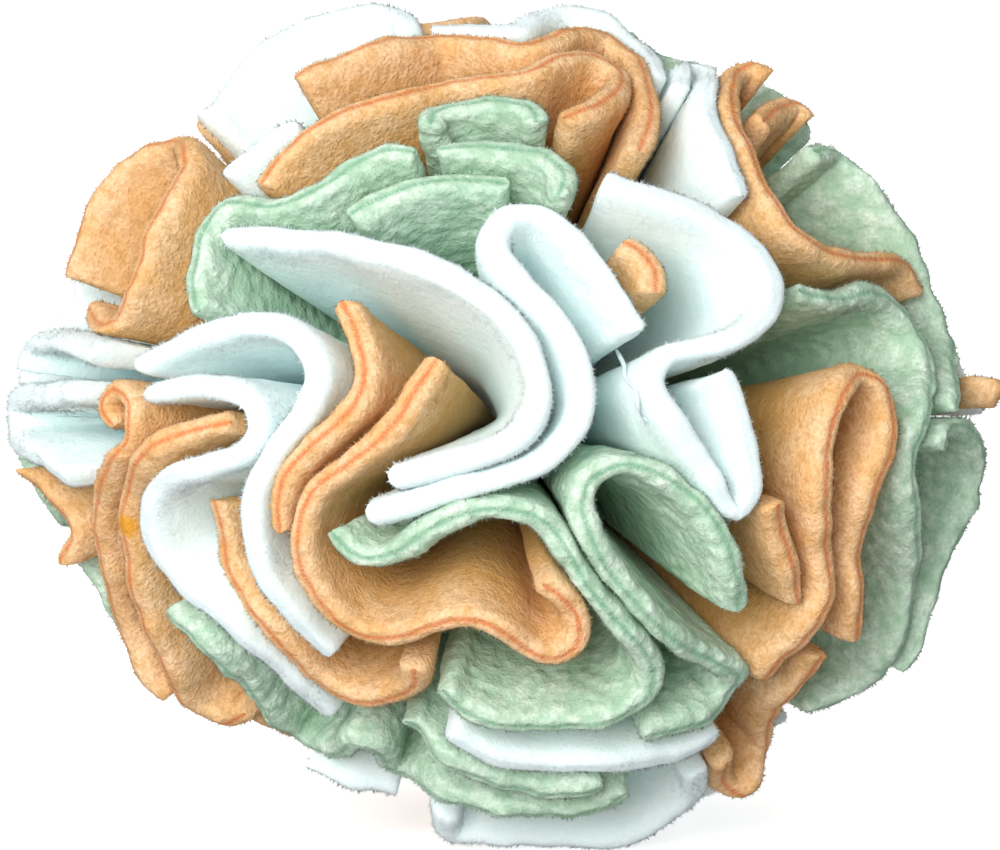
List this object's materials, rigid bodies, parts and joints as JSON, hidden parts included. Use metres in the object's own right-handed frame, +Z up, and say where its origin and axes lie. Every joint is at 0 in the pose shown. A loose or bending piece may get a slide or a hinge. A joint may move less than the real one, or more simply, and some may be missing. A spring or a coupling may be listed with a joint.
{
  "type": "dog snuffle ball",
  "caption": "Ball of thick fleece strips gathered at the middle, whose ruffled cut edges stand outwards and leave pockets for dry treats.",
  "frame": {"origin": "on the surface the ball stands on, under the middle of its outline", "axes": "+Z up, +X along the ball's widest measure, and the presented side faces -Y, tipped a little upwards"},
  "size_m": [0.1649, 0.1503, 0.1387],
  "materials": {
    "fleece_white": "fluffy brushed fleece, white with a pale aqua tint",
    "fleece_orange": "fine brushed fleece, orange-tan",
    "fleece_green": "curly brushed fleece, sage green"
  },
  "bodies": {
    "root": {"petal": "fleece_white", "swirl": "fleece_white", "twin": "fleece_orange", "wave": "fleece_orange", "hook": "fleece_orange", "curl": "fleece_white", "fork": "fleece_white", "left_band": "fleece_orange", "left_fold": "fleece_orange", "leaf": "fleece_orange", "upper_ear": "fleece_white", "lower_ear": "fleece_white", "lobe": "fleece_orange", "shoulder": "fleece_white", "brow": "fleece_green", "under_brow": "fleece_green", "knob": "fleece_green", "shelf": "fleece_green", "crown": "fleece_orange", "crown_curl": "fleece_orange", "cap": "fleece_white", "cap_tail": "fleece_white", "spear": "fleece_white", "twist": "fleece_white", "strap": "fleece_orange", "corner": "fleece_orange", "flank": "fleece_green", "skirt": "fleece_green", "loop": "fleece_orange", "flap": "fleece_orange", "heel": "fleece_orange", "spiral": "fleece_green", "ribbon": "fleece_green", "saucer": "fleece_white", "ledge": "fleece_green", "vine": "fleece_green", "hem": "fleece_white", "toe": "fleece_white", "key": "fleece_orange", "frill": "fleece_green", "dot": "fleece_orange", "back_rose": "fleece_orange", "back_swirl": "fleece_white", "back_bend": "fleece_green", "back_arc": "fleece_orange", "back_wrap": "fleece_white", "back_side": "fleece_green", "back_sweep": "fleece_orange", "back_left": "fleece_white", "back_top": "fleece_green", "back_base": "fleece_green", "ruffle_1": "fleece_white", "ruffle_2": "fleece_green", "ruffle_3": "fleece_orange", "ruffle_4": "fleece_white", "ruffle_5": "fleece_green", "ruffle_6": "fleece_orange", "ruffle_7": "fleece_white", "ruffle_8": "fleece_orange"}
  },
  "joints": []
}
